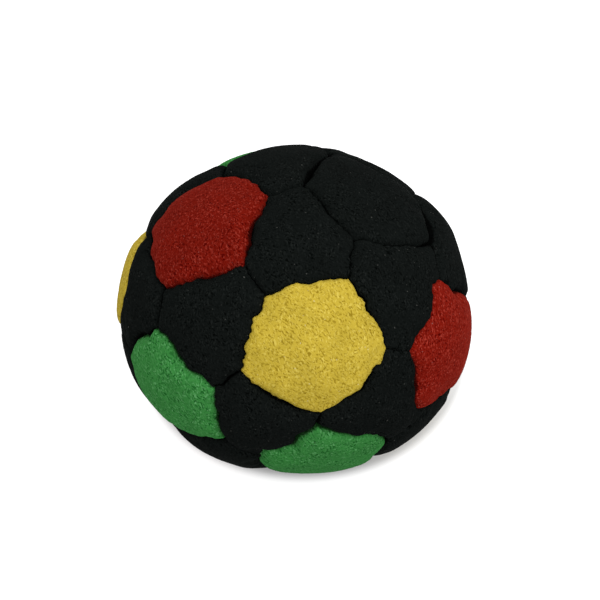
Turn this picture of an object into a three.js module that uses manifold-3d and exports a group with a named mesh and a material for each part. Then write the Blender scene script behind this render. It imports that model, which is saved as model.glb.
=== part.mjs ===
// A footbag: a small kick bag sewn from thirty-two suede panels and filled with sand.
// Twelve pentagons and twenty hexagons are sewn inside out, with their edges turned in, then filled.
// Millimetres, +Z up. The bag rests on its flattened base, and the origin is the middle of that base.

import * as THREE from 'three';
import { mergeVertices } from 'three/addons/utils/BufferGeometryUtils.js';
import Module from 'manifold-3d';

const wasm = await Module();
wasm.setup();

// The whole bag as it rests
const bagWidth = 54;
const bagHeight = 48;
const baseFlattening = 1.6;
const baseGroove = 0.7;

// The sand has run to one side, and the bag swells there: by how much, and towards which bearing
const sideSwell = 1.4;
const swellAzimuth = -10;

// One panel of suede
const suedeThickness = 0.8;
const crownHeight = 1.4;
const shoulderWidth = 2.6;
const allowanceDepth = 2.2;
const seamSlit = 0.36;

// The sewing thread, and the gap between pieces that touch
const threadDiameter = 0.6;
const fitGap = 0.3;

// The pattern: how far along the line to its neighbour a pentagon's corner lies
const cornerShare = 0.413;

// How the pattern lies on the resting bag, in degrees: the middle of the front panel, and the turn
// about it that brings its first neighbour to the upper right
const frontAzimuth = -80.5;
const frontLatitude = 36.2;
const firstNeighbourBearing = 56.1;

// How finely the curves are cut into facets
const longSeamSteps = 3;
const shortSeamSteps = 1;
const fillSeamSteps = 2;
const threadSides = 6;
const shoulderShares = [1, 0.58, 0.18, 0];
const middleShare = 0.5;

// The outer crown is an ellipsoid with these half axes, cut off by the table
const sideRadius = bagWidth / 2;
const poleRadius = (bagHeight + baseFlattening) / 2;
const centreHeight = bagHeight - poleRadius;

// Colours and finishes of the suedes, the thread and the sand
const finishes = {
  yellow: { color: 0xd9a514, roughness: 0.95 },
  red: { color: 0xb5241c, roughness: 0.95 },
  green: { color: 0x1d6b34, roughness: 0.95 },
  black: { color: 0x1b1d1c, roughness: 0.95 },
  thread: { color: 0x161616, roughness: 0.8 },
  sand: { color: 0xc9b48a, roughness: 1 },
};

function finishOf(name) {
  return new THREE.MeshStandardMaterial({ ...finishes[name], metalness: 0, flatShading: true });
}

// The pentagons in order: the front one, five round it, five further round, and the rear one.
const pentagons = [
  { name: 'pentagon_yellow_front', finish: 'yellow' },
  { name: 'pentagon_black_top', finish: 'black' },
  { name: 'pentagon_red_top', finish: 'red' },
  { name: 'pentagon_green_left', finish: 'green' },
  { name: 'pentagon_green_front_low', finish: 'green' },
  { name: 'pentagon_red_right', finish: 'red' },
  { name: 'pentagon_green_rear_high', finish: 'green' },
  { name: 'pentagon_yellow_left', finish: 'yellow' },
  { name: 'pentagon_red_base', finish: 'red' },
  { name: 'pentagon_yellow_base', finish: 'yellow' },
  { name: 'pentagon_green_right', finish: 'green' },
  { name: 'pentagon_red_rear', finish: 'red' },
];
const ringCount = 5;
const rear = pentagons.length - 1;

function nearRing(index) {
  return 1 + (index % ringCount);
}

function farRing(index) {
  return 1 + ringCount + (index % ringCount);
}

// A unit vector at a bearing and a latitude, in radians
function direction(bearing, latitude) {
  return new THREE.Vector3(
    Math.cos(bearing) * Math.cos(latitude),
    Math.sin(bearing) * Math.cos(latitude),
    Math.sin(latitude),
  );
}

// Turns the pattern from lying about +Z to lying about the front panel's direction.
function patternTurn() {
  const azimuth = THREE.MathUtils.degToRad(frontAzimuth);
  const latitude = THREE.MathUtils.degToRad(frontLatitude);
  const front = direction(azimuth, latitude);
  const east = direction(azimuth + Math.PI / 2, 0);
  const north = new THREE.Vector3().crossVectors(front, east);
  return new THREE.Matrix4().makeBasis(east, north, front);
}

// The middles of the pentagons: the twelve corners of a regular icosahedron
function pentagonMiddles() {
  const ringLatitude = Math.atan(1 / 2);
  const start = THREE.MathUtils.degToRad(firstNeighbourBearing);
  const step = (2 * Math.PI) / ringCount;
  const middles = [direction(0, Math.PI / 2)];
  for (let i = 0; i < ringCount; i += 1) {
    middles.push(direction(start + i * step, ringLatitude));
  }
  for (let i = 0; i < ringCount; i += 1) {
    middles.push(direction(start + (i + 1 / 2) * step, -ringLatitude));
  }
  middles.push(direction(0, -Math.PI / 2));
  const turn = patternTurn();
  return middles.map((middle) => middle.applyMatrix4(turn));
}

const middles = pentagonMiddles();

// Each hexagon lies between three pentagons, listed counter-clockwise from outside.
function hexagonTriples() {
  const triples = [];
  for (let i = 0; i < ringCount; i += 1) {
    triples.push([0, nearRing(i), nearRing(i + 1)]);
    triples.push([nearRing(i), farRing(i), nearRing(i + 1)]);
    triples.push([nearRing(i + 1), farRing(i), farRing(i + 1)]);
    triples.push([rear, farRing(i + 1), farRing(i)]);
  }
  return triples;
}

const triples = hexagonTriples();

// The corner of one pentagon that points towards another
function cornerOf(from, towards) {
  return middles[from].clone().lerp(middles[towards], cornerShare).normalize();
}

// A pentagon's neighbours, counter-clockwise from outside
function neighboursOf(pentagon) {
  const following = new Map();
  for (const [a, b, c] of triples) {
    if (a === pentagon) following.set(b, c);
    if (b === pentagon) following.set(c, a);
    if (c === pentagon) following.set(a, b);
  }
  const neighbours = [following.keys().next().value];
  while (neighbours.length < following.size) {
    neighbours.push(following.get(neighbours.at(-1)));
  }
  return neighbours;
}

// An outline is a panel's corners and, for the seam that leaves each corner, whether it is a long one.
function pentagonOutline(pentagon) {
  const corners = neighboursOf(pentagon).map((neighbour) => cornerOf(pentagon, neighbour));
  return { corners, longSeams: corners.map(() => true) };
}

function hexagonOutline([a, b, c]) {
  const corners = [
    cornerOf(a, b), cornerOf(b, a), cornerOf(b, c), cornerOf(c, b), cornerOf(c, a), cornerOf(a, c),
  ];
  return { corners, longSeams: corners.map((corner, index) => index % 2 === 1) };
}

function middleOf(corners) {
  const sum = new THREE.Vector3();
  corners.forEach((corner) => sum.add(corner));
  return sum.normalize();
}

// The corners moved in from their two seams by one distance, measured at the bag's side
function insetCorners(corners, distance) {
  const count = corners.length;
  const inward = corners.map((corner, index) => (
    new THREE.Vector3().crossVectors(corner, corners[(index + 1) % count]).normalize()
  ));
  return corners.map((corner, index) => {
    const after = inward[index];
    const before = inward[(index + count - 1) % count];
    const mitre = distance / sideRadius / (1 + after.dot(before));
    return corner.clone().addScaledVector(after, mitre).addScaledVector(before, mitre).normalize();
  });
}

// The directions of a closed line round a panel, at one distance in from its seams
function ringDirections(outline, distance, longSteps) {
  const corners = insetCorners(outline.corners, distance);
  const ring = [];
  corners.forEach((corner, index) => {
    const next = corners[(index + 1) % corners.length];
    const steps = outline.longSeams[index] ? longSteps : shortSeamSteps;
    for (let i = 0; i < steps; i += 1) {
      ring.push(corner.clone().lerp(next, i / steps).normalize());
    }
  });
  return ring;
}

// How much of the crown height a panel has gained at a distance from its turned edge
function riseAt(distance) {
  const left = 1 - Math.min(distance / shoulderWidth, 1);
  return Math.sqrt(1 - left * left);
}

const swellMiddle = direction(THREE.MathUtils.degToRad(swellAzimuth), 0);

// How far the bag stands out past the ellipsoid in a direction
function swellAt(way) {
  const facing = Math.max(way.dot(swellMiddle), 0);
  return sideSwell * facing * facing;
}

// The point in a direction on the slumped bag: rise goes from 0 at a seam to 1 on the crown, and
// depth is measured inwards from there. Nothing goes below the table.
function place(way, rise, depth) {
  const out = swellAt(way) - crownHeight * (1 - rise) - depth;
  const height = way.z * (poleRadius + out) + centreHeight;
  const lowest = baseGroove * (1 - rise) + depth;
  const side = sideRadius + out;
  return new THREE.Vector3(way.x * side, way.y * side, Math.max(height, lowest));
}

function placeRing(ring, rise, depth) {
  return ring.map((way) => place(way, rise, depth));
}

// Joins neighbouring rings of points with triangles. A ring of one point is a tip.
function band(first, second, triangles) {
  const count = Math.max(first.length, second.length);
  for (let i = 0; i < count; i += 1) {
    const j = (i + 1) % count;
    if (first.length === 1) {
      triangles.push(first[0], second[i], second[j]);
    } else if (second.length === 1) {
      triangles.push(first[i], second[0], first[j]);
    } else {
      triangles.push(first[i], second[i], second[j]);
      triangles.push(first[i], second[j], first[j]);
    }
  }
}

function skin(rings, closed = false) {
  const triangles = [];
  for (let i = 0; i + 1 < rings.length; i += 1) {
    band(rings[i], rings[i + 1], triangles);
  }
  if (closed) {
    band(rings.at(-1), rings[0], triangles);
  }
  return triangles;
}

function geometryOf(triangles) {
  const geometry = new THREE.BufferGeometry().setFromPoints(triangles);
  return mergeVertices(geometry);
}

// A panel: its puffed face, the edges turned in along every seam, and the inside of both
function panelGeometry(outline) {
  const edge = seamSlit / 2;
  const wall = edge + suedeThickness;
  const centre = [middleOf(outline.corners)];
  const ringAt = (distance) => ringDirections(outline, distance, longSeamSteps);
  const levelled = ringAt(edge + shoulderWidth);
  const between = levelled.map((way) => way.clone().lerp(centre[0], middleShare).normalize());
  const innerLevelled = ringAt(wall + shoulderWidth);
  const innerBetween = innerLevelled.map((way) => way.clone().lerp(centre[0], middleShare).normalize());
  const outside = shoulderShares.map((share) => (
    placeRing(ringAt(edge + share * shoulderWidth), riseAt(share * shoulderWidth), 0)
  ));
  return geometryOf(skin([
    placeRing(centre, 1, 0),
    placeRing(between, 1, 0),
    ...outside,
    placeRing(ringAt(edge), 0, allowanceDepth),
    placeRing(ringAt(wall), 0, allowanceDepth),
    placeRing(ringAt(wall), riseAt(suedeThickness), suedeThickness),
    placeRing(innerLevelled, 1, suedeThickness),
    placeRing(innerBetween, 1, suedeThickness),
    placeRing(centre, 1, suedeThickness),
  ]));
}

// The thread lies under the turned-in edges, and the sand lies under the thread.
const threadRadius = threadDiameter / 2;
const threadDepth = allowanceDepth + fitGap + threadRadius;
const fillDepth = threadDepth + threadRadius + fitGap;

// The sand takes the shape of the bag: a pad inside each panel, with a groove at each seam
function fillGeometry(outlines) {
  const wall = seamSlit / 2 + suedeThickness + fitGap;
  const padDepth = suedeThickness + fitGap;
  const triangles = outlines.flatMap((outline) => {
    const ringAt = (distance) => ringDirections(outline, distance, fillSeamSteps);
    return skin([
      placeRing([middleOf(outline.corners)], 1, padDepth),
      placeRing(ringAt(wall + shoulderWidth), 1, padDepth),
      placeRing(ringAt(wall), riseAt(suedeThickness), padDepth),
      placeRing(ringAt(wall), 0, fillDepth),
      placeRing(ringAt(0), 0, fillDepth),
    ]);
  });
  return geometryOf(triangles);
}

// The points of a thread's round section, as distances sideways and depths
function threadSection() {
  const points = [];
  for (let i = 0; i < threadSides; i += 1) {
    const angle = (2 * Math.PI * (i + 1 / 2)) / threadSides;
    points.push({
      sideways: threadRadius * Math.cos(angle),
      depth: threadDepth - threadRadius * Math.sin(angle),
    });
  }
  return points;
}

// The loop of thread that sews a pentagon to the five hexagons round it
function threadLoop(outline) {
  const rings = threadSection().map(({ sideways, depth }) => (
    placeRing(ringDirections(outline, sideways, longSeamSteps), 0, depth)
  ));
  return geometryOf(skin(rings, true));
}

// The stretch of thread along the seam between two hexagons, from one pentagon's corner until just
// short of the other pentagon's loop
function threadLeg(from, towards) {
  const start = cornerOf(from, towards);
  const corner = cornerOf(towards, from);
  const across = new THREE.Vector3().crossVectors(corner, start).normalize();
  const share = 1 - (threadDiameter + fitGap) / sideRadius / start.distanceTo(corner);
  const end = start.clone().lerp(corner, share).normalize();
  const sections = [start, end].map((station) => threadSection().map(({ sideways, depth }) => {
    const way = station.clone().addScaledVector(across, sideways / sideRadius).normalize();
    return place(way, 0, depth);
  }));
  return geometryOf(skin([
    [place(start, 0, threadDepth)],
    ...sections,
    [place(end, 0, threadDepth)],
  ]));
}

// Joins closed meshes into one
function joined(geometries) {
  const solids = geometries.map((geometry) => new wasm.Manifold(new wasm.Mesh({
    numProp: 3,
    vertProperties: geometry.attributes.position.array,
    triVerts: geometry.index.array,
  })));
  const mesh = solids.reduce((whole, solid) => whole.add(solid)).getMesh();
  const geometry = new THREE.BufferGeometry();
  geometry.setAttribute('position', new THREE.BufferAttribute(mesh.vertProperties, 3));
  geometry.setIndex(new THREE.BufferAttribute(mesh.triVerts, 1));
  return geometry;
}

// Every seam between two hexagons runs between two pentagons, and the thread of the one with fewer
// such seams so far goes on along it.
function shareOutLegs() {
  const legs = pentagons.map(() => []);
  pentagons.forEach((pentagon, index) => {
    neighboursOf(index).filter((neighbour) => neighbour > index).forEach((neighbour) => {
      const [from, towards] = legs[index].length > legs[neighbour].length
        ? [neighbour, index]
        : [index, neighbour];
      legs[from].push(towards);
    });
  });
  return legs;
}

function numbered(name, index) {
  return `${name}_${String(index + 1).padStart(2, '0')}`;
}

function addPiece(name, geometry, finish) {
  const mesh = new THREE.Mesh(geometry, finishOf(finish));
  mesh.name = name;
  bag.add(mesh);
}

const bag = new THREE.Group();
const pentagonOutlines = pentagons.map((pentagon, index) => pentagonOutline(index));
const hexagonOutlines = triples.map((triple) => hexagonOutline(triple));

pentagons.forEach(({ name, finish }, index) => {
  addPiece(name, panelGeometry(pentagonOutlines[index]), finish);
});

hexagonOutlines.forEach((outline, index) => {
  addPiece(numbered('hexagon_black', index), panelGeometry(outline), 'black');
});

shareOutLegs().forEach((towards, index) => {
  const legs = towards.map((neighbour) => threadLeg(index, neighbour));
  addPiece(numbered('seam_thread', index), joined([threadLoop(pentagonOutlines[index]), ...legs]), 'thread');
});

addPiece('sand_fill', fillGeometry([...pentagonOutlines, ...hexagonOutlines]), 'sand');

// The swell makes the bag wider on one side, so all pieces move until the origin is under its middle.
const middleOfBag = new THREE.Box3().setFromObject(bag).getCenter(new THREE.Vector3());
bag.children.forEach((piece) => {
  piece.geometry.translate(-middleOfBag.x, -middleOfBag.y, 0);
});

export default bag;
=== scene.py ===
# %% [markdown]
# # A footbag
# A footbag is a small kick bag, sewn from thirty-two panels of synthetic suede and filled with sand.
# This lesson builds the soft outside: the puffed panels, the seams that pull them in, and the nap.
# The pieces underneath come from a frame that holds their true size and place, in metres, +Z up.

# %% The frame
import math
import bmesh
import bpy
import numpy as np
from mathutils import Matrix, Vector, noise


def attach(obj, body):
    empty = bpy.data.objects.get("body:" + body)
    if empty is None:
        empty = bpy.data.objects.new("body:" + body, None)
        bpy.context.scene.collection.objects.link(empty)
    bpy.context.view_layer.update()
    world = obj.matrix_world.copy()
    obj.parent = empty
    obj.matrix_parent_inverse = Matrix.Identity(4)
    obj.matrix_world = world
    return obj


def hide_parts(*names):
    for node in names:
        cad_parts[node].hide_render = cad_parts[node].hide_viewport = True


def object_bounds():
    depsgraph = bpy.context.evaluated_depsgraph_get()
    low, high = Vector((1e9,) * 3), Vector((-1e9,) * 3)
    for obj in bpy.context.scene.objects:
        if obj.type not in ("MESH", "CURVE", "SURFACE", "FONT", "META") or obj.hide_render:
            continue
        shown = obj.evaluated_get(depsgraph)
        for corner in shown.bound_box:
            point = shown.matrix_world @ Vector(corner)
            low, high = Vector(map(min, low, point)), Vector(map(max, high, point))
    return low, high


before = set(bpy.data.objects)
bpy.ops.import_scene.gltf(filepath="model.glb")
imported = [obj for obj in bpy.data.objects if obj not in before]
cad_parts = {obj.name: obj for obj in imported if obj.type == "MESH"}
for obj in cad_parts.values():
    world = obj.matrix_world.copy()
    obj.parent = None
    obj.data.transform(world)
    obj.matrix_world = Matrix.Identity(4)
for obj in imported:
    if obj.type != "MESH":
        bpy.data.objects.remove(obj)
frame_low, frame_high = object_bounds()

mm = 0.001
scene = bpy.context.scene
print("frame", [round(side / mm, 1) for side in frame_high - frame_low], "mm")

# %% [markdown]
# ## The shape at rest
# Full of sand and lying on a table, the bag is a ball that has slumped a little: wider than it is high,
# and flat where it rests. An ellipsoid that the table cuts off describes it well, so every point of
# the bag can be given by a direction from the middle and a depth under the crown of the panels. The
# sand has run to the bag's right, which widens the frame's box on that side alone. Each seam is a
# groove with round shoulders. Noise varies how tightly the thread draws it in, and where the
# photograph shows a fold or a slack seam, a short list of directions adds to the noise.

# %% The slumped ball
bag_height = frame_high.z - frame_low.z
side_radius = (frame_high.y - frame_low.y) / 2
base_flattening = 1.6 * mm
pole_radius = (bag_height + base_flattening) / 2
bag_middle = Vector((frame_low.x + side_radius, 0, bag_height - pole_radius))

crown_height = 0.62 * mm
shoulder_width = 0.85 * mm
crease_waves = 3.6
crease_change = 1.3
crease_shift = Vector((12.9, 17.2, 18.0))
least_tightness = 0.2
base_groove_share = 0.7
# Directions near which the seams are drawn in tighter, or slacker, than the noise leaves them; they also
# set how much painted fold shade those seams get
drawn_in = (
    (Vector((0.77, 0.11, 0.63)), 1.0),
    (Vector((0.81, -0.17, 0.56)), 0.6),
    (Vector((-0.2, -0.22, 0.95)), 0.8),
    (Vector((0.56, -0.19, 0.81)), -0.8),
    (Vector((0.61, -0.67, 0.42)), -0.8),
)
drawn_narrowness = 70


def tightness(way):
    """How tightly the seams are drawn in at a direction: about 1, and less where the thread is slack."""
    tight = 1 + crease_change * noise.noise(way * crease_waves + crease_shift)
    for middle, change in drawn_in:
        tight += change * math.exp((way.dot(middle) - 1) * drawn_narrowness)
    return max(tight, least_tightness)


def drop_at(way, distance):
    """How far the surface lies under the crown of a panel, at a distance from its seam."""
    tight = tightness(way)
    left = 1 - min(distance / (shoulder_width * tight), 1)
    return crown_height * tight * (1 - math.sqrt(1 - left * left))


def place(way, drop):
    """The point of the slumped bag in a direction, at a depth under the crown of the panels."""
    height = way.z * (pole_radius - drop) + bag_middle.z
    side = side_radius - drop
    return Vector((
        way.x * side + bag_middle.x,
        way.y * side + bag_middle.y,
        max(height, drop * base_groove_share),
    ))


print("deepest seam", round(drop_at(drawn_in[0][0], 0) / mm, 2), "mm")

# %% [markdown]
# ## The camera
# The photograph looks down on the bag from a little under halfway between level and straight down.
# A long lens keeps the ball free of perspective. The camera is made first, so that each later step
# can be looked at from where the photograph was taken.

# %% The camera
photo_side = 600
photo_middle = Vector((292.1, 308.5))
photo_radius = 172.1
camera_elevation = math.radians(46)
camera_distance = 16 * side_radius


def make_camera():
    data = bpy.data.cameras.new("camera")
    camera = bpy.data.objects.new("camera", data)
    scene.collection.objects.link(camera)
    back = Vector((0, -math.cos(camera_elevation), math.sin(camera_elevation)))
    turn = (-back).to_track_quat("-Z", "Y")
    off_middle = (Vector((photo_side / 2, photo_side / 2)) - photo_middle) / photo_radius
    aim = bag_middle + turn @ Vector((off_middle.x, -off_middle.y, 0)) * side_radius
    camera.rotation_mode = "QUATERNION"
    camera.rotation_quaternion = turn
    camera.location = aim + back * camera_distance
    data.lens = data.sensor_width * photo_radius / photo_side * camera_distance / side_radius
    scene.camera = camera


make_camera()
print("lens", round(scene.camera.data.lens, 1), "mm")

# %% [markdown]
# ## The pattern
# Twelve pentagons and twenty hexagons make the bag, as on a football. Blender's icosphere with one
# subdivision is a plain icosahedron, and bevelling its twelve corners cuts each one off as a pentagon
# and leaves each triangle as a hexagon. How far the bevel reaches sets how large the pentagons are.

# %% The pattern
corner_share = 0.413
front_azimuth = math.radians(-80.5)
front_latitude = math.radians(36.2)
first_neighbour_bearing = math.radians(56.1)


def direction(bearing, latitude):
    return Vector((
        math.cos(bearing) * math.cos(latitude),
        math.sin(bearing) * math.cos(latitude),
        math.sin(latitude),
    ))


def pattern_turn(upper_bearing):
    """Turns the icosphere so that its top corner faces front and a corner round it is at its bearing."""
    front = direction(front_azimuth, front_latitude)
    east = direction(front_azimuth + math.pi / 2, 0)
    lie = Matrix((east, front.cross(east), front)).transposed()
    return lie.to_4x4() @ Matrix.Rotation(first_neighbour_bearing - upper_bearing, 4, "Z")


def pattern_mesh():
    bm = bmesh.new()
    bmesh.ops.create_icosphere(bm, subdivisions=1, radius=1)
    upper = next(v.co for v in bm.verts if 0 < v.co.z < 0.9)
    turn = pattern_turn(math.atan2(upper.y, upper.x))
    bmesh.ops.bevel(
        bm, geom=bm.verts[:], offset=100 * corner_share, offset_type="PERCENT",
        affect="VERTICES", segments=1, profile=0.5, material=-1,
    )
    bmesh.ops.transform(bm, matrix=turn, verts=bm.verts)
    for vert in bm.verts:
        vert.co.normalize()
    return bm


pattern = pattern_mesh()
print("panels", len(pattern.faces), "seams", len(pattern.edges))

# %% Which panel is which
# Each face takes the name of the frame's panel that it lies over.


def frame_middle(name):
    points = [vert.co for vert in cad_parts[name].data.vertices]
    return (sum(points, Vector()) / len(points) - bag_middle).normalized()


panel_nodes = [name for name in sorted(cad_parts) if name.startswith(("pentagon", "hexagon"))]
node_middles = {name: frame_middle(name) for name in panel_nodes}
panels = []
for face in pattern.faces:
    corners = [vert.co.copy() for vert in face.verts]
    middle = sum(corners, Vector()).normalized()
    name = max(panel_nodes, key=lambda node: node_middles[node].dot(middle))
    inward = [corners[i - 1].cross(corners[i]).normalized() for i in range(len(corners))]
    panels.append({"name": name, "middle": middle, "corners": corners, "inward": inward})
print("matched", len({panel["name"] for panel in panels}), "of", len(panel_nodes), "frame panels")

# %% [markdown]
# ## A cloth grid over the pattern
# Cloth needs small, even faces that follow the seams. Every panel is cut from its middle to the middle
# of each seam, which leaves four-sided sectors, and each sector is cut into a grid. A layer on the
# faces remembers the panel, and a layer on the corners remembers the direction from the middle.

# %% The cloth grid
sector_steps = 10
spokes_at_corner = 6


def cloth_grid(pattern):
    bm = pattern.copy()
    panel_layer = bm.faces.layers.int.new("panel")
    for index, face in enumerate(bm.faces):
        face[panel_layer] = index
    bmesh.ops.subdivide_edges(bm, edges=bm.edges[:], cuts=1)
    centres = bmesh.ops.poke(bm, faces=bm.faces[:])["verts"]
    to_corners = [
        edge for centre in centres for edge in centre.link_edges
        if len(edge.other_vert(centre).link_edges) == spokes_at_corner
    ]
    bmesh.ops.dissolve_edges(bm, edges=to_corners)
    bmesh.ops.subdivide_edges(bm, edges=bm.edges[:], cuts=sector_steps - 1, use_grid_fill=True)
    return bm


def seam_distance(way, panel):
    """How far a direction lies in from the nearest seam of its panel, along the bag's side."""
    return side_radius * max(min(math.asin(way.dot(inward)) for inward in panel["inward"]), 0)


grid = cloth_grid(pattern)
print("grid faces", len(grid.faces))

# %% [markdown]
# ## Hand sewing is never even
# On a bag this small the seams wander by up to a millimetre or two, and where a coloured panel meets
# black ones that shows at once. For the panels that the photograph shows, the strays of their
# outlines were measured against an even pattern, five to a side. The rest get a slight bow.

# %% Strays of the outlines
# How far an outline strays outwards, in mm, from the corner with the lowest bearing counterclockwise
pentagon_sides = 5
outline_strays = {
    "pentagon_yellow_front": (
        0.3, 1.2, 1.2, 1.1, 1.2, 0.3, 0.4, 0.9, 0.7, 0.2, -0.6, 0.1, -0.1,
        -0.15, -0.25, -0.4, 0.1, -0.2, 0.0, 0.0, -1.1, -0.5, 0.2, 0.1, 0.3,
    ),
    "pentagon_red_top": (
        1.6, 0.2, 0.4, -0.5, 0.2, -0.1, 0.3, 0.3, 0.9, 1.2, 1.1, 0.9, 0.7,
        0.5, 0.9, 0.3, 0.6, 1.3, 0.9, 0.4, -0.3, 0.0, 0.3, 0.3, 0.2,
    ),
    "pentagon_green_left": (
        -1.2, -0.2, 0.3, 0.2, 0.0, 0.0, 0.2, 0.3, 0.2, -0.1, 0.5, 0.4, 0.6,
        0.9, 0.2, 0.0, 0.0, -0.5, -0.2, 0.3, -0.5, -0.9, -0.4, -0.6, -1.0,
    ),
    "pentagon_green_front_low": (
        0.0, 0.2, 0.4, 0.2, 0.0, 0.0, 0.2, -0.3, -1.4, -1.4, -0.8, 1.1, 1.7,
        1.3, 1.7, 2.6, 2.1, 0.9, 0.7, 1.0, -1.0, -0.2, -0.3, -0.3, 0.0,
    ),
    "pentagon_green_rear_high": (
        0.0, 0.2, 0.5, 0.5, 0.2, 0.0, 0.2, 0.5, 0.5, 0.2, 0.0, 0.2, 0.4,
        0.4, 0.3, 0.3, 0.2, -1.6, -3.0, -4.1, -5.3, -3.9, -2.6, -1.0, -0.1,
    ),
    "pentagon_yellow_left": (
        0.0, 0.2, 0.5, 0.5, 0.2, 0.0, 0.2, 0.4, 0.4, 0.3, 0.8, 3.2, 5.2,
        5.2, 4.0, 2.2, 0.9, 0.4, 0.4, 0.2, 0.0, 0.2, 0.5, 0.5, 0.2,
    ),
    "pentagon_red_right": (
        -1.6, -2.1, -2.1, -1.2, -0.6, -0.4, 0.2, 0.4, 0.2, 0.0, -0.9, -1.1, -1.0,
        -1.0, -1.2, 0.5, 2.6, 2.1, 1.8, 2.5, 2.2, 1.7, 1.8, 1.6, 1.4,
    ),
}
plain_strays = (0.0, 0.25, 0.45, 0.45, 0.25) * pentagon_sides
# How far each corner has slid round its panel, in mm, counterclockwise
corner_slides = {
    "pentagon_yellow_front": (-0.5, -0.1, 0.5, -0.3, 0.3),
    "pentagon_red_top": (-0.4, 0.4, 0.7, -0.9, -1.1),
    "pentagon_green_left": (-0.4, 0.0, 1.7, -0.9, -0.6),
    "pentagon_green_front_low": (0.0, 0.0, 1.0, 0.7, -1.2),
    "pentagon_red_right": (0.4, 0.0, 0.0, 1.6, -0.4),
    "pentagon_black_top": (0.5, 0.0, -0.4, 0.0, -1.2),
}
# How far past an outline its stray dies out
stray_reach = 5.2 * mm
wide_reach = {"pentagon_green_rear_high": 8.5 * mm, "pentagon_yellow_left": 9.5 * mm}


def round_curve(values, turns):
    """A smooth closed curve through evenly spaced values, read at shares of the whole turn."""
    count = len(values)
    at = (turns % 1) * count
    first = at.astype(int)
    t = at - first
    before, start, end, after = (np.take(values, (first + step) % count) for step in (-1, 0, 1, 2))
    bend = 3 * (start - end) + after - before
    return start + 0.5 * t * (end - before + t * (2 * before - 5 * start + 4 * end - after + t * bend))


def bearings(ways, middle):
    """The bearing of each direction round a panel's middle, counterclockwise from its east."""
    east = np.cross((0, 0, 1), middle)
    east /= np.linalg.norm(east)
    return np.arctan2(ways @ np.cross(middle, east), ways @ east)


def smooth_step(share):
    share = np.clip(share, 0, 1)
    return share * share * (3 - 2 * share)


def stray(ways, panel):
    """How one pentagon's uneven outline moves directions, away from or towards its middle."""
    middle = np.array(panel["middle"])
    corners = np.sort(bearings(np.array(panel["corners"]), middle))
    turns = (bearings(ways, middle) - corners[0]) / (2 * math.pi)
    outwards = round_curve(outline_strays.get(panel["name"], plain_strays), turns)
    sideways = round_curve(corner_slides.get(panel["name"], (0.0,) * pentagon_sides), turns)
    inset = np.arcsin(np.clip(ways @ np.array(panel["inward"]).T, -1, 1)).min(axis=1)
    widest = np.arcsin(np.clip(middle @ np.array(panel["inward"]).T, -1, 1)).min()
    reach = wide_reach.get(panel["name"], stray_reach) / side_radius
    share = smooth_step(1 - np.where(inset > 0, inset / widest, -inset / reach))
    away = ways - middle * (ways @ middle)[:, None]
    away -= ways * (ways * away).sum(1)[:, None]
    away /= np.linalg.norm(away, axis=1).clip(1e-9)[:, None]
    moved = away * outwards[:, None] + np.cross(ways, away) * sideways[:, None]
    return moved * (share * mm / side_radius)[:, None]


print("outlines set by hand", len(outline_strays))

# %% [markdown]
# ## Lumps
# Noise adds what no list holds: a finer wander of the seams, and soft lumps where sand has shifted.
# It depends on the place and one seed, so panels that share a seam still meet along it. Seen from the
# camera the bag is wider to the right and lower than an ellipsoid, so its outline gets a list too.

# %% Lumps and wander
seam_wander = {"broad": (3.2, 0.012), "fine": (11.0, 0.011)}
# Without a seed of its own, noise_vector starts from the clock and differs from run to run
wander_seed = 4
noise.seed_set(wander_seed)
lump_waves = 1.6
lump_height = 0.5 * mm
noise_shift = Vector((3.1, 7.7, 1.9))
# How far the bag's outline reaches past the ellipsoid, in mm, every 15 degrees from the camera's right
outline_reach = (
    0.85, 0.45, 0.75, 0.05, -0.75, -0.3, -0.75, -1.0, -1.0, -0.55, -0.75, -0.35,
    -0.1, -0.05, 0.05, -0.5, -0.55, -0.9, -0.95, -0.45, -0.05, 0.65, 1.0, 1.1,
)


def wandered(way):
    moved = Vector(way)
    for waves, share in seam_wander.values():
        moved += share * noise.noise_vector(moved * waves + noise_shift * waves)
    return moved


def lumps(ways):
    """How far the surface stands out in each direction, in metres."""
    view = np.array(scene.camera.rotation_quaternion.to_matrix())
    right, up, back = view.T
    turns = np.arctan2(ways @ up, ways @ right) / (2 * math.pi)
    at_outline = 1 - (ways @ back) ** 2
    reach = round_curve(outline_reach, turns) * mm * at_outline
    soft = np.array([noise.noise(Vector(way) * lump_waves + noise_shift) for way in ways])
    return reach + soft * lump_height


def uneven(ways):
    """The directions after the strays and the wander."""
    pentagons = [panel for panel in panels if len(panel["corners"]) == pentagon_sides]
    moved = ways + sum(stray(ways, panel) for panel in pentagons)
    moved = np.array([wandered(way) for way in moved])
    return moved / np.linalg.norm(moved, axis=1)[:, None]


def shape_grid(bm):
    """Stores each corner's direction and moves it onto the uneven, slumped bag."""
    panel_layer = bm.faces.layers.int["panel"]
    way_layer = bm.verts.layers.float_vector.new("way")
    bm.verts.layers.deform.new()
    ways = np.array([vert.co.normalized() for vert in bm.verts])
    moved, out = uneven(ways), lumps(ways)
    for vert, way, new_way, lump in zip(bm.verts, ways, moved, out):
        panel = panels[vert.link_faces[0][panel_layer]]
        vert[way_layer] = way
        drop = drop_at(Vector(way), seam_distance(Vector(way), panel))
        point = place(Vector(new_way), drop) + Vector(new_way) * lump
        point.z = max(point.z, 0)
        vert.co = point


shape_grid(grid)
print("shaped height", round(max(vert.co.z for vert in grid.verts) / mm, 1), "mm")

# %% [markdown]
# ## The sand pushes the cloth out
# Between its seams the suede bulges under the sand. That is what a cloth simulation with pressure
# gives, when the seams are pinned and the cloth is a little larger than the shape that holds it.
# Blender's cloth is tuned for objects about ten times larger, so the grid is enlarged for it.

# %% The simulation
sim_scale = 10
sim_frames = 20
sim_pressure = 4
cloth_slack = 0.03
most_move = 0.8 * mm


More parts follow.
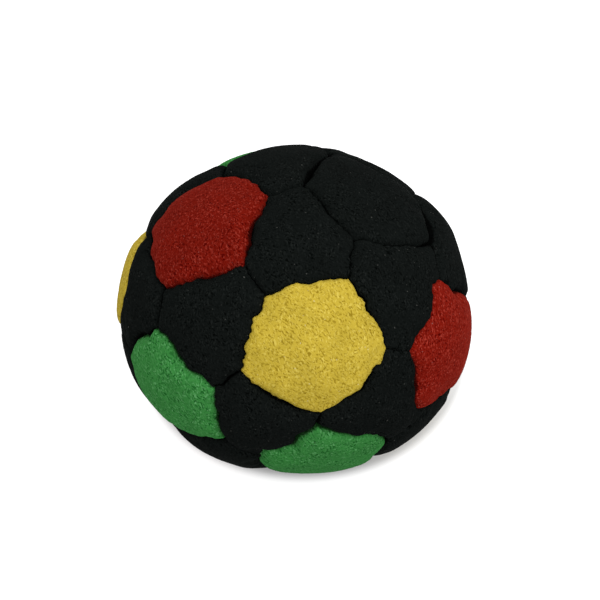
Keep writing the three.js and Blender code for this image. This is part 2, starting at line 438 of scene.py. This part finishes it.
def grid_object(bm, scale):
    mesh = bpy.data.meshes.new("cloth")
    bm.to_mesh(mesh)
    mesh.transform(Matrix.Scale(scale, 4))
    cloth = bpy.data.objects.new("cloth", mesh)
    scene.collection.objects.link(cloth)
    return cloth


def on_seam(vert, panel_layer):
    return len({face[panel_layer] for face in vert.link_faces}) > 1


def add_cloth(cloth, seam_points):
    pins = cloth.vertex_groups.new(name="pins")
    pins.add(seam_points, 1, "REPLACE")
    settings = cloth.modifiers.new("cloth", "CLOTH").settings
    settings.vertex_group_mass = pins.name
    settings.quality = 5
    settings.use_pressure = True
    settings.uniform_pressure_force = sim_pressure
    settings.shrink_min = -cloth_slack
    settings.effector_weights.gravity = 0


def simulated_points(bm):
    panel_layer = bm.faces.layers.int["panel"]
    cloth = grid_object(bm, sim_scale)
    add_cloth(cloth, [vert.index for vert in bm.verts if on_seam(vert, panel_layer)])
    for step in range(1, sim_frames + 1):
        scene.frame_set(step)
    shown = cloth.evaluated_get(bpy.context.evaluated_depsgraph_get())
    points = [vert.co / sim_scale for vert in shown.data.vertices]
    bpy.data.objects.remove(cloth)
    scene.frame_set(1)
    return points


def puff(bm):
    """Moves the grid to where the simulation leaves it, by no more than a cap, and not below the table."""
    bm.verts.index_update()
    moves = []
    for vert, point in zip(bm.verts, simulated_points(bm)):
        move = point - vert.co
        move.length = min(move.length, most_move) if move.length else 0
        moves.append(move.length)
        vert.co += move
        vert.co.z = max(vert.co.z, 0)
    print("cloth moved", round(sum(moves) / len(moves) / mm, 2), "mm on average")


puff(grid)

# %% [markdown]
# ## One panel
# A panel is a piece of suede with its edges turned in and sewn to its neighbours' edges. Its share of
# the grid is its face. Extruding the rim inwards gives the turned-in edge, a copy of the face moved in
# by the thickness gives the back, and bridging the two closes it into one solid piece.

# %% Cutting out and closing a panel
suede_thickness = 0.8 * mm
# The turned-in edge: how far each step goes down into the bag, and how far under the panel
allowance_steps = [
    (0.5 * mm, 0.04 * mm),
    (0.8 * mm, 0.02 * mm),
    (0.9 * mm, 0),
    (0, suede_thickness),
]
fine_levels = 2
face_group = "face"


def panel_face(bm, index):
    """The grid with all but one panel's faces deleted."""
    cut = bm.copy()
    panel_layer = cut.faces.layers.int["panel"]
    others = [face for face in cut.faces if face[panel_layer] != index]
    bmesh.ops.delete(cut, geom=others, context="FACES")
    cut.normal_update()
    return cut


def add_backing(bm):
    """Copies the face without its outer row, moves it in by the suede's thickness, returns its edge."""
    inner = [face for face in bm.faces if not any(vert.is_boundary for vert in face.verts)]
    copied = bmesh.ops.duplicate(bm, geom=inner)["geom"]
    faces = [item for item in copied if isinstance(item, bmesh.types.BMFace)]
    verts = [item for item in copied if isinstance(item, bmesh.types.BMVert)]
    for vert in verts:
        vert.co -= vert.normal * suede_thickness
    bmesh.ops.reverse_faces(bm, faces=faces)
    return verts, [item for item in copied if isinstance(item, bmesh.types.BMEdge) and item.is_boundary]


def turn_in(bm, rim, middle):
    """Extrudes the rim along the allowance's steps and returns the last rim."""
    way_layer = bm.verts.layers.float_vector["way"]
    for down, under in allowance_steps:
        made = bmesh.ops.extrude_edge_only(bm, edges=rim)["geom"]
        verts = {item for item in made if isinstance(item, bmesh.types.BMVert)}
        edges = [item for item in made if isinstance(item, bmesh.types.BMEdge)]
        rim = [edge for edge in edges if verts.issuperset(edge.verts)]
        for vert in verts:
            way = Vector(vert[way_layer])
            inward = (middle - way * middle.dot(way)).normalized()
            vert.co += inward * under - way * down
    return rim


def closed_panel(bm, panel):
    deform = bm.verts.layers.deform.active
    rim = [edge for edge in bm.edges if edge.is_boundary]
    for vert in bm.verts:
        vert[deform][0] = 1
    backing, back_edge = add_backing(bm)
    for vert in backing:
        vert[deform][0] = 0
    front = set(bm.verts)
    last_rim = turn_in(bm, rim, panel["middle"])
    for vert in set(bm.verts) - front:
        vert[deform][0] = 0
    bmesh.ops.bridge_loops(bm, edges=last_rim + back_edge)
    bmesh.ops.recalc_face_normals(bm, faces=bm.faces)


def panel_object(bm, index):
    panel = panels[index]
    cut = panel_face(bm, index)
    closed_panel(cut, panel)
    mesh = bpy.data.meshes.new("coarse")
    cut.to_mesh(mesh)
    cut.free()
    coarse = bpy.data.objects.new("coarse", mesh)
    coarse.vertex_groups.new(name=face_group)
    scene.collection.objects.link(coarse)
    smooth = coarse.modifiers.new("smooth", "SUBSURF")
    smooth.levels = smooth.render_levels = fine_levels
    view = bpy.context.evaluated_depsgraph_get()
    shown = coarse.evaluated_get(view)
    fine = bpy.data.meshes.new_from_object(shown, preserve_all_data_layers=True, depsgraph=view)
    bpy.data.objects.remove(coarse)
    piece = bpy.data.objects.new(f"suede_{panel['name']}", fine)
    piece.vertex_groups.new(name=face_group)
    scene.collection.objects.link(piece)
    return piece


pieces = [panel_object(grid, index) for index in range(len(panels))]
print("panel triangles", sum(2 * len(piece.data.polygons) for piece in pieces))

# %% [markdown]
# ## Stitches draw the seam in
# Each stitch pulls a small hollow into both panels, and the suede between two stitches is pushed a
# little to one side or the other, so that the edge of a panel crinkles and frays. The fine mesh knows
# every point's direction, and from it follow the nearest seam, the distance to it and the place
# along it. Noise keeps the pitch uneven. How open each seam is, which sets the painted shade of the
# tight seams, and a painted sheen tone for each panel are stored on the points for the material to read.

# %% Stitch hollows
stitch_pitch = 1.5 * mm
stitch_depth = 0.24 * mm
hollow_reach = 0.6 * mm
pitch_waves = 7
pitch_drift = 1.1 * mm
mean_pull = 0.6
pull_change = 1.9
crinkle_height = 0.5 * mm
crinkle_waves = 15
crinkle_reach = 0.9 * mm
mean_crinkle = 0.8
# The fray is a second, finer octave of the crinkle's noise
fray_fineness = 2.8
fray_falloff = 0.75
# How far a seam opens for each unit that its thread is slack, which sets how far the painted fold shade
# reaches
slack_opening = 0.55 * mm
tightest = 1.6
# How bright the nap looks on a panel, by the way that it was brushed: a painted sheen, standing in for the
# light that the nap catches at that panel's angle
painted_sheen_tones = {"pentagon_red_right": 1.16, "pentagon_red_top": 0.94, "pentagon_green_left": 1.06}
# Any direction that no seam lies square to tells both panels of a seam which way along it is forwards
forwards = np.array((0.31, 0.53, 0.79))


def read_points(mesh, name, width):
    values = np.empty(len(mesh.vertices) * width)
    mesh.attributes[name].data.foreach_get("vector" if width > 1 else "value", values)
    return values.reshape(-1, width) if width > 1 else values


def nearest_seam(ways, panel):
    """For each direction: the distance to the nearest seam, the place along it, and which way it runs."""
    inward = np.array(panel["inward"])
    ends = np.array(panel["corners"])
    centres = ends + np.roll(ends, 1, axis=0)
    centres /= np.linalg.norm(centres, axis=1)[:, None]
    along = np.cross(inward, centres)
    along *= np.sign(along @ forwards)[:, None]
    angles = np.arcsin(np.clip(ways @ inward.T, -1, 1))
    nearest = angles.argmin(axis=1)
    distance = angles.min(axis=1).clip(0) * side_radius
    place_along = np.arctan2((ways * along[nearest]).sum(1), (ways * centres[nearest]).sum(1))
    return distance, place_along * side_radius, along[nearest], centres[nearest]


def stitch_moves(distance, along, seam_ways):
    """How deep the stitches draw each point in, and how far the crinkle pushes it across the seam."""
    uneven_noise = np.array([noise.noise_vector(Vector(way) * pitch_waves) for way in seam_ways])
    turns = 2 * math.pi * (along + pitch_drift * uneven_noise[:, 0]) / stitch_pitch
    pull = (mean_pull + pull_change * uneven_noise[:, 1]).clip(0) * np.exp(-distance / hollow_reach)
    depth = stitch_depth * (0.5 + 0.5 * np.cos(turns)) * pull
    fine_noise = np.array([
        noise.fractal(Vector(way) * crinkle_waves, fray_falloff, fray_fineness, 2) for way in seam_ways
    ])
    swing = (mean_crinkle + uneven_noise[:, 2]).clip(0) * np.exp(-distance / crinkle_reach)
    return depth, crinkle_height * fine_noise * swing


def store_on_points(mesh, name, values):
    mesh.attributes.new(name, "FLOAT", "POINT").data.foreach_set("value", values)


def draw_in_stitches(piece, panel):
    mesh = piece.data
    ways = read_points(mesh, "way", 3)
    ways /= np.linalg.norm(ways, axis=1)[:, None]
    distance, along, runs, centres = nearest_seam(ways, panel)
    turned = (along / side_radius)[:, None]
    seam_ways = centres * np.cos(turned) + runs * np.sin(turned)
    depth, crinkle = stitch_moves(distance, along, seam_ways)
    points = read_points(mesh, "position", 3) - ways * depth[:, None]
    points += np.cross(seam_ways, runs) * crinkle[:, None]
    points[:, 2] = points[:, 2].clip(0)
    mesh.vertices.foreach_set("co", points.ravel())
    # How open a seam is only sets how far in from it the material paints fold shade
    slack = tightest - np.array([tightness(Vector(way)) for way in seam_ways])
    store_on_points(mesh, "seam_opening", distance + slack.clip(-1) * slack_opening)
    store_on_points(mesh, "painted_sheen_tone", np.full(len(distance), painted_sheen_tones.get(panel["name"], 1.0)))
    mesh.shade_smooth()
    mesh.update()


for piece, panel in zip(pieces, panels):
    draw_in_stitches(piece, panel)
print("stitches of", round(stitch_pitch / mm, 1), "mm drawn in on", len(pieces), "panels")

# %% [markdown]
# ## The nap as relief
# Suede has a raised nap that clumps. The clumps are a third to half a millimetre across, large enough
# to show at the bag's outline, so they are real relief: a Displace modifier with a cloud texture, held
# to the outside of each panel by a vertex group.

# %% Nap relief
clump_size = 0.55 * mm
clump_height = 0.12 * mm
# The black suede's nap is shorter
black_clump_height = 0.07 * mm


def nap_texture():
    clouds = bpy.data.textures.new("nap clumps", "CLOUDS")
    clouds.noise_scale = clump_size
    clouds.noise_depth = 2
    return clouds


def keep_off_table(mesh):
    """Fades the relief out where the bag rests, so that none of it goes into the table."""
    for vert in mesh.vertices:
        if vert.co.z < clump_height:
            for held in vert.groups:
                held.weight *= max(vert.co.z / clump_height, 0)


nap_clouds = nap_texture()
for piece in pieces:
    keep_off_table(piece.data)
    raise_nap = piece.modifiers.new("nap", "DISPLACE")
    raise_nap.texture = nap_clouds
    raise_nap.texture_coords = "LOCAL"
    raise_nap.vertex_group = face_group
    raise_nap.strength = black_clump_height if "black" in piece.name else clump_height
    raise_nap.mid_level = 0.5
print("nap up to", round(clump_height / mm, 2), "mm high")

# %% [markdown]
# ## Suede as a material
# All the suedes share one node group, because only their colours and the size of their clumps differ.
# It mixes a painted shade in the pits of the nap, the dyed colour, and pale fibre tips that are painted
# highlights, and gives the height of the nap too. It reads Object coordinates, so the pattern lies in space
# and has no seams or stretch.
# Where two panels press together along a seam no light gets in between the fibres, so the group also
# reads how open the seam is, which was stored with the stitches, and paints shade on the tight seams'
# edges.

# %% Node helpers


def add_node(tree, kind, **values):
    made = tree.nodes.new(kind)
    for name, value in values.items():
        made.inputs[name.replace("_", " ")].default_value = value
    return made


def new_material(name):
    material = bpy.data.materials.new(name)
    material.use_nodes = True
    return material, material.node_tree, material.node_tree.nodes["Principled BSDF"]


# %% Masks and mixes


def band(tree, source, low, high):
    """A mask that goes from 0 to 1 as the source goes from low to high."""
    made = tree.nodes.new("ShaderNodeMapRange")
    made.interpolation_type = "SMOOTHSTEP"
    made.inputs["From Min"].default_value = low
    made.inputs["From Max"].default_value = high
    tree.links.new(source, made.inputs["Value"])
    return made.outputs["Result"]


def noise_of(tree, coordinates, scale, detail, distortion=0.0):
    made = add_node(tree, "ShaderNodeTexNoise", Detail=detail, Distortion=distortion)
    tree.links.new(coordinates, made.inputs["Vector"])
    if isinstance(scale, (int, float)):
        made.inputs["Scale"].default_value = scale
    else:
        tree.links.new(scale, made.inputs["Scale"])
    return made.outputs["Fac"]


def mixed(tree, mask, first, second, blend="MIX"):
    made = tree.nodes.new("ShaderNodeMix")
    made.data_type = "RGBA"
    made.blend_type = blend
    for name, value in (("Factor", mask), ("A", first), ("B", second)):
        socket = next(s for s in made.inputs if s.name == name and s.enabled)
        if isinstance(value, (int, float, tuple)):
            socket.default_value = value
        else:
            tree.links.new(value, socket)
    return next(s for s in made.outputs if s.enabled)


def warped(tree, coordinates, scale, reach):
    """Coordinates pushed about by a colourful noise, so that what is drawn on them curls."""
    push = add_node(tree, "ShaderNodeTexNoise", Scale=scale, Detail=1.0)
    tree.links.new(coordinates, push.inputs["Vector"])
    centred = tree.nodes.new("ShaderNodeVectorMath")
    centred.operation = "SUBTRACT"
    centred.inputs[1].default_value = (0.5, 0.5, 0.5)
    tree.links.new(push.outputs["Color"], centred.inputs[0])
    added = tree.nodes.new("ShaderNodeVectorMath")
    added.operation = "MULTIPLY_ADD"
    added.inputs[1].default_value = (reach, reach, reach)
    tree.links.new(centred.outputs[0], added.inputs[0])
    tree.links.new(coordinates, added.inputs[2])
    return added.outputs[0]


def calculated(tree, operation, *values):
    made = tree.nodes.new("ShaderNodeMath")
    made.operation = operation
    for socket, value in zip(made.inputs, values):
        if isinstance(value, (int, float)):
            socket.default_value = value
        else:
            tree.links.new(value, socket)
    return made.outputs[0]


def attribute(tree, name, output):
    made = tree.nodes.new("ShaderNodeAttribute")
    made.attribute_name = name
    return made.outputs[output]


def stretched(tree, coordinates, along, times):
    """Coordinates in which a pattern comes out longer along one direction."""
    made = tree.nodes.new("ShaderNodeMapping")
    made.vector_type = "TEXTURE"
    made.inputs["Rotation"].default_value = Vector(along).to_track_quat("X", "Z").to_euler()
    made.inputs["Scale"].default_value = (times, 1, 1)
    tree.links.new(coordinates, made.inputs["Vector"])
    return made.outputs["Vector"]


# %% The suede group
curl_size = 1.2 * mm
curl_reach = 0.9 * mm
# Which way the hollows and the strands of the nap lie, and how much longer than wide they are
hollow_lie = (0.75, -0.48, -0.46)
strand_lie = (0.3, -0.7, -0.65)
nap_stretch = 2.0
patch_size = 2.6 * mm
speck_spacing = 0.95 * mm
lint_colour = (0.80, 0.79, 0.72, 1)
shade_waves = 240
# The painted fold shade: how far the nap frays its edge, where it fades out, and its colour
fray_reach = 0.35 * mm
painted_fold_edge = (0.35 * mm, 0.7 * mm)
painted_fold_shade = (0.22, 0.2, 0.2, 1)


def lint_mask(tree, coordinates, amount):
    """Sparse specks of pale lint, some fainter than others."""
    specks = tree.nodes.new("ShaderNodeTexVoronoi")
    specks.inputs["Scale"].default_value = 1 / speck_spacing
    tree.links.new(coordinates, specks.inputs["Vector"])
    seen = calculated(tree, "MULTIPLY", band(tree, specks.outputs["Distance"], 0.12, 0.05), amount)
    return calculated(tree, "MULTIPLY", seen, band(tree, specks.outputs["Color"], 0.45, 0.95))


def patches_and_painted_sheen(tree, coordinates):
    """Broad lighter and darker patches, times the painted sheen tone that is stored on each panel."""
    broad = noise_of(tree, coordinates, shade_waves, 2)
    shade = mixed(tree, band(tree, broad, 0.3, 0.7), (0.93, 0.93, 0.93, 1), (1.05, 1.05, 1.05, 1))
    return mixed(tree, 1.0, shade, attribute(tree, "painted_sheen_tone", "Vector"), "MULTIPLY")


def painted_fold_shading(tree, hollows):
    """Painted shade where two panels press together along a seam, with an edge that the nap frays."""
    opening = attribute(tree, "seam_opening", "Fac")
    frayed = calculated(tree, "MULTIPLY_ADD", hollows, fray_reach, opening)
    return mixed(tree, band(tree, frayed, *painted_fold_edge), painted_fold_shade, (1, 1, 1, 1))


def group_sockets(tree):
    """Makes the group's sockets and returns what goes in and what comes out."""
    face = tree.interface
    for name in ("Pit_shade", "Dye", "Tip_highlight"):
        face.new_socket(name, in_out="INPUT", socket_type="NodeSocketColor")
    for name in ("Curls", "Ruffle", "Lint"):
        face.new_socket(name, in_out="INPUT", socket_type="NodeSocketFloat")
    face.new_socket("Color", in_out="OUTPUT", socket_type="NodeSocketColor")
    face.new_socket("Height", in_out="OUTPUT", socket_type="NodeSocketFloat")
    return tree.nodes.new("NodeGroupInput").outputs, tree.nodes.new("NodeGroupOutput").inputs


def suede_group():
    tree = bpy.data.node_groups.new("suede nap", "ShaderNodeTree")
    values, results = group_sockets(tree)
    coordinates = tree.nodes.new("ShaderNodeTexCoord").outputs["Object"]
    curled = warped(tree, coordinates, 1 / curl_size, curl_reach)
    hollows = noise_of(tree, stretched(tree, curled, hollow_lie, nap_stretch), values["Curls"], 2)
    strands = noise_of(tree, stretched(tree, curled, strand_lie, nap_stretch), values["Curls"], 2)
    patches = band(tree, noise_of(tree, coordinates, 1 / patch_size, 2), 0.36, 0.6)
    least = values["Ruffle"]
    ruffled = calculated(tree, "MULTIPLY_ADD", patches, calculated(tree, "SUBTRACT", 1, least), least)
    # Painted shade in the nap's hollows and painted highlights on its fibre tips, more of both in ruffled
    # patches
    painted_pit_shade = calculated(tree, "MULTIPLY", band(tree, hollows, 0.51, 0.36), ruffled)
    painted_tip_highlights = calculated(tree, "MULTIPLY", band(tree, strands, 0.53, 0.67), ruffled)
    napped = mixed(tree, painted_tip_highlights, mixed(tree, painted_pit_shade, values["Dye"], values["Pit_shade"]), values["Tip_highlight"])
    linted = mixed(tree, lint_mask(tree, curled, values["Lint"]), napped, lint_colour)
    shaded = mixed(tree, 1.0, linted, patches_and_painted_sheen(tree, coordinates), "MULTIPLY")
    tree.links.new(mixed(tree, 1.0, shaded, painted_fold_shading(tree, hollows), "MULTIPLY"), results["Color"])
    tree.links.new(calculated(tree, "MULTIPLY_ADD", strands, 0.7, hollows), results["Height"])
    return tree


nap_group = suede_group()
print("nodes in the suede group", len(nap_group.nodes))

# %% The four suedes
# The pit colour is painted shade in the nap's hollows, and the tip colour a painted highlight on its fibre
# tips that also tints the sheen
suedes = {
    "yellow": {
        "Pit_shade": (0.29, 0.193, 0.011, 1), "Dye": (0.52, 0.383, 0.0415, 1), "Tip_highlight": (0.64, 0.50, 0.088, 1),
        "Curls": 1 / (0.26 * mm), "Ruffle": 0.7, "Lint": 0.5, "sheen": 0.12,
    },
    "red": {
        "Pit_shade": (0.07, 0.0003, 0.0001, 1), "Dye": (0.168, 0.007, 0.003, 1), "Tip_highlight": (0.30, 0.034, 0.022, 1),
        "Curls": 1 / (0.25 * mm), "Ruffle": 0.65, "Lint": 0.12, "sheen": 0.5,
    },
    "green": {
        "Pit_shade": (0.0065, 0.082, 0.012, 1), "Dye": (0.038, 0.205, 0.0435, 1), "Tip_highlight": (0.10, 0.33, 0.11, 1),
        "Curls": 1 / (0.27 * mm), "Ruffle": 0.45, "Lint": 0.1, "sheen": 0.18,
    },
    "black": {
        "Pit_shade": (0.0009, 0.0013, 0.0011, 1), "Dye": (0.0052, 0.0065, 0.006, 1),
        "Tip_highlight": (0.0115, 0.0135, 0.0125, 1),
        "Curls": 1 / (0.23 * mm), "Ruffle": 0.45, "Lint": 0.1, "sheen": 0.006,
    },
}
group_values = ("Pit_shade", "Dye", "Tip_highlight", "Curls", "Ruffle", "Lint")
nap_bump = 0.06 * mm


def suede_material(colour, values):
    material, tree, surface = new_material(f"suede_{colour}")
    nap = tree.nodes.new("ShaderNodeGroup")
    nap.node_tree = nap_group
    for name in group_values:
        nap.inputs[name].default_value = values[name]
    bump = add_node(tree, "ShaderNodeBump", Strength=1.0, Distance=nap_bump)
    tree.links.new(nap.outputs["Height"], bump.inputs["Height"])
    tree.links.new(bump.outputs["Normal"], surface.inputs["Normal"])
    tree.links.new(nap.outputs["Color"], surface.inputs["Base Color"])
    surface.inputs["Roughness"].default_value = 0.95
    surface.inputs["Specular IOR Level"].default_value = 0.01
    surface.inputs["Sheen Weight"].default_value = values["sheen"]
    surface.inputs["Sheen Roughness"].default_value = 0.4
    surface.inputs["Sheen Tint"].default_value = values["Tip_highlight"]
    return material


suede_materials = {colour: suede_material(colour, values) for colour, values in suedes.items()}
print("suedes", ", ".join(suede_materials))

# %% Dressing the panels
for piece, panel in zip(pieces, panels):
    colour = next(colour for colour in suedes if colour in panel["name"])
    piece.data.materials.clear()
    piece.data.materials.append(suede_materials[colour])
    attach(piece, "root")
    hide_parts(panel["name"])

# %% [markdown]
# ## The sand
# The sand fills the bag to the back of every panel and leaves room for the turned-in edges. The cloth
# grid already has the bag's shape, so the sand is that grid moved inwards, deeper under the seams.

# %% The sand's shape
sand_gap = 0.25 * mm
sand_groove = 2.2 * mm
groove_reach = 1.9 * mm


def sand_object(bm):
    body = bm.copy()
    panel_layer = body.faces.layers.int["panel"]
    way_layer = body.verts.layers.float_vector["way"]
    body.normal_update()
    for vert in body.verts:
        panel = panels[vert.link_faces[0][panel_layer]]
        near = 1 - min(seam_distance(Vector(vert[way_layer]), panel) / groove_reach, 1)
        vert.co -= vert.normal * (suede_thickness + sand_gap) + Vector(vert[way_layer]) * sand_groove * near
    mesh = bpy.data.meshes.new("loose_sand")
    body.to_mesh(mesh)
    body.free()
    mesh.shade_smooth()
    piece = bpy.data.objects.new("loose_sand", mesh)
    scene.collection.objects.link(piece)
    return piece


sand = sand_object(grid)
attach(sand, "root")
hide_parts("sand_fill")
print("sand triangles", 2 * len(sand.data.polygons))

# %% [markdown]
# ## Whip stitches
# Inside the bag a waxed thread winds round the two turned-in edges of every seam, through the suede
# and back over the raw edges. One winding thread goes round each pentagon, and where two hexagons meet
# it runs on along their seam. A curve with a round bevel makes it: its points go round the seam's own
# line, so it follows every stray. Nothing of it shows outside but the hollows that it pulls.

# %% The thread
thread_radius = 0.11 * mm
winding_depth = 1.75 * mm
winding_height = 0.7 * mm
winding_width = 0.9 * mm
points_per_stitch = 10
thread_names = [name for name in sorted(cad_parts) if name.startswith("seam_thread")]


def wound_along(start, end):
    """The points of a thread that winds round the turned-in edges from one corner to another."""
    stitches = max(round(start.angle(end) * side_radius / stitch_pitch), 1)
    shares = np.linspace(0, 1, stitches * points_per_stitch + 1)[:, None]
    ways = np.array(start) * (1 - shares) + np.array(end) * shares
    ways /= np.linalg.norm(ways, axis=1)[:, None]
    outwards, reach = uneven(ways), lumps(ways)
    drops = [drop_at(Vector(way), 0) for way in ways]
    seam = np.array([
        place(Vector(way), drop) + Vector(way) * out for way, drop, out in zip(outwards, drops, reach)
    ])
    across = np.cross(np.gradient(seam, axis=0), outwards)
    across /= np.linalg.norm(across, axis=1)[:, None]
    turns = 2 * math.pi * stitches * shares
    depth = winding_depth + winding_height * np.cos(turns)
    return seam - outwards * depth + across * winding_width * np.sin(turns)


def add_spline(curve, points, closed):
    spline = curve.splines.new("POLY")
    spline.points.add(len(points) - 1)
    spline.points.foreach_set("co", np.hstack([points, np.ones((len(points), 1))]).ravel())
    spline.use_cyclic_u = closed


def thread_object(name, loop, legs):
    """The thread round one pentagon and along the seams that leave its corners, as a mesh."""
    curve = bpy.data.curves.new("wound", "CURVE")
    curve.dimensions = "3D"
    curve.bevel_depth = thread_radius
    curve.bevel_resolution = 1
    curve.use_fill_caps = True
    sides = [wound_along(loop[i - 1], loop[i])[:-1] for i in range(len(loop))]
    add_spline(curve, np.vstack(sides), True)
    for start, end in legs:
        add_spline(curve, wound_along(start, end), False)
    wound = bpy.data.objects.new("wound", curve)
    scene.collection.objects.link(wound)
    mesh = bpy.data.meshes.new_from_object(wound.evaluated_get(bpy.context.evaluated_depsgraph_get()))
    mesh.shade_smooth()
    bpy.data.objects.remove(wound)
    piece = bpy.data.objects.new(name, mesh)
    scene.collection.objects.link(piece)
    return piece


def frame_thread_at(way):
    """The frame's thread that passes nearest under a direction."""
    point = bag_middle + way * (side_radius - winding_depth)
    near = {name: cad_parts[name].closest_point_on_mesh(point)[1] for name in thread_names}
    return min(near, key=lambda name: (near[name] - point).length)


def hexagon_seams():
    """The seams that no pentagon has, each given once by its two corners."""
    seams = []
    for edge in pattern.edges:
        if all(len(face.verts) == 6 for face in edge.link_faces):
            seams.append([vert.co.normalized() for vert in edge.verts])
    return seams


def make_threads():
    legs = {name: [] for name in thread_names}
    for start, end in hexagon_seams():
        legs[frame_thread_at((start + end).normalized())].append((start, end))
    pentagons = [panel for panel in panels if len(panel["corners"]) == pentagon_sides]
    for name in thread_names:
        lies = frame_middle(name)
        loop = max(pentagons, key=lambda panel: panel["middle"].dot(lies))["corners"]
        piece = thread_object(name.replace("seam_thread", "winding_thread"), loop, legs[name])
        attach(piece, "root")
        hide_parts(name)
        yield piece


threads = list(make_threads())
print("thread triangles", sum(2 * len(piece.data.polygons) for piece in threads))

# %% [markdown]
# ## Thread and sand
# The thread inside the seams and the sand take a plain finish each, because little of them shows:
# twisted strands for the one, and grains of several colours for the other.

# %% Their materials
strand_size = 0.2 * mm
grain_size = 0.35 * mm
grain_bump = 0.15 * mm


def thread_material():
    material, tree, surface = new_material("sewing_thread")
    coordinates = tree.nodes.new("ShaderNodeTexCoord").outputs["Object"]
    strands = noise_of(tree, coordinates, 1 / strand_size, 2)
    colour = mixed(tree, band(tree, strands, 0.4, 0.6), (0.008, 0.008, 0.008, 1), (0.03, 0.03, 0.03, 1))
    tree.links.new(colour, surface.inputs["Base Color"])
    surface.inputs["Roughness"].default_value = 0.6
    return material


def sand_material():
    material, tree, surface = new_material("sand")
    coordinates = tree.nodes.new("ShaderNodeTexCoord").outputs["Object"]
    grains = tree.nodes.new("ShaderNodeTexVoronoi")
    grains.inputs["Scale"].default_value = 1 / grain_size
    tree.links.new(coordinates, grains.inputs["Vector"])
    colour = mixed(tree, grains.outputs["Color"], (0.42, 0.31, 0.17, 1), (0.7, 0.58, 0.36, 1))
    tree.links.new(colour, surface.inputs["Base Color"])
    bump = add_node(tree, "ShaderNodeBump", Strength=1.0, Distance=grain_bump)
    tree.links.new(grains.outputs["Distance"], bump.inputs["Height"])
    tree.links.new(bump.outputs["Normal"], surface.inputs["Normal"])
    surface.inputs["Roughness"].default_value = 0.9
    return material


sand.data.materials.append(sand_material())
thread_finish = thread_material()
for piece in threads:
    piece.data.materials.append(thread_finish)
print("materials", len(bpy.data.materials))

# %% [markdown]
# ## Floor and light
# A plain white floor and one large soft lamp from above, with an even surround, light the bag as in a
# photographer's tent. Only camera and reflection rays see the floor glow, so that it is white in the
# picture, still holds the bag's shadow, and throws no extra light on the bag. The glow fades in a
# round patch under the bag and behind it, a painted shadow, so that only a soft narrow shadow shows
# from the front.

# %% Floor


def seen_directly(tree):
    """1 for rays from the camera and for mirrored and transmitted ones, 0 for the rest."""
    path = tree.nodes.new("ShaderNodeLightPath").outputs
    bounced = calculated(tree, "MAXIMUM", path["Is Glossy Ray"], path["Is Transmission Ray"])
    return calculated(tree, "MAXIMUM", path["Is Camera Ray"], bounced)


# The painted shadow's patch is a little off the bag's middle, and each fade has a place where it starts and
# ends
painted_shadow_middle = Vector((1.2 * mm, 11.2 * mm, 0))
painted_shadow_fade = (25 * mm, 27.7 * mm)
painted_bag_shade_fade = (20 * mm, 38 * mm)
least_glow = 0.24
added_glow = 0.61


def distance_from(tree, coordinates, middle):
    made = tree.nodes.new("ShaderNodeVectorMath")
    made.operation = "DISTANCE"
    made.inputs[1].default_value = middle
    tree.links.new(coordinates, made.inputs[0])
    return made.outputs["Value"]


def glow_strength(tree):
    """How strongly the floor glows at each place: weakly where the bag rests, painting its shadow, fully a
    little way off.
    """
    coordinates = tree.nodes.new("ShaderNodeTexCoord").outputs["Object"]
    beside = band(tree, distance_from(tree, coordinates, painted_shadow_middle), *painted_shadow_fade)
    far_off = band(tree, distance_from(tree, coordinates, (0, 0, 0)), *painted_bag_shade_fade)
    clear = calculated(tree, "MAXIMUM", beside, far_off)
    return calculated(tree, "MULTIPLY_ADD", clear, added_glow, least_glow)


def floor_material():
    material, tree, surface = new_material("floor")
    surface.inputs["Base Color"].default_value = (0.5, 0.5, 0.5, 1)
    surface.inputs["Roughness"].default_value = 0.9
    surface.inputs["Specular IOR Level"].default_value = 0
    surface.inputs["Emission Color"].default_value = (1, 1, 1, 1)
    glow = calculated(tree, "MULTIPLY", seen_directly(tree), glow_strength(tree))
    tree.links.new(glow, surface.inputs["Emission Strength"])
    return material


floor_reach = 3


def make_floor():
    bm = bmesh.new()
    bmesh.ops.create_grid(bm, x_segments=1, y_segments=1, size=floor_reach)
    mesh = bpy.data.meshes.new("floor")
    bm.to_mesh(mesh)
    bm.free()
    floor = bpy.data.objects.new("floor", mesh)
    floor.data.materials.append(floor_material())
    scene.collection.objects.link(floor)


make_floor()
print("floor", 2 * floor_reach, "m wide")

# %% Light
surround_light = 0.8
lamp_place = Vector((0.16, -0.22, 0.53))
lamp_size = 0.5
lamp_power = 1.86


def make_world():
    world = bpy.data.worlds.new("world")
    world.use_nodes = True
    scene.world = world
    tree = world.node_tree
    strength = tree.nodes.new("ShaderNodeMapRange")
    strength.inputs["To Min"].default_value = surround_light
    strength.inputs["To Max"].default_value = 1
    tree.links.new(seen_directly(tree), strength.inputs["Value"])
    background = tree.nodes["Background"]
    background.inputs["Color"].default_value = (1, 1, 1, 1)
    tree.links.new(strength.outputs["Result"], background.inputs["Strength"])


def make_lamp():
    data = bpy.data.lights.new("key", "AREA")
    data.size = lamp_size
    data.energy = lamp_power
    lamp = bpy.data.objects.new("key", data)
    lamp.location = lamp_place
    lamp.rotation_mode = "QUATERNION"
    lamp.rotation_quaternion = (bag_middle - lamp_place).to_track_quat("-Z", "Y")
    scene.collection.objects.link(lamp)


make_world()
make_lamp()
print("lamp", lamp_power, "W,", lamp_size, "m wide")

scene.view_settings.view_transform = "Standard"
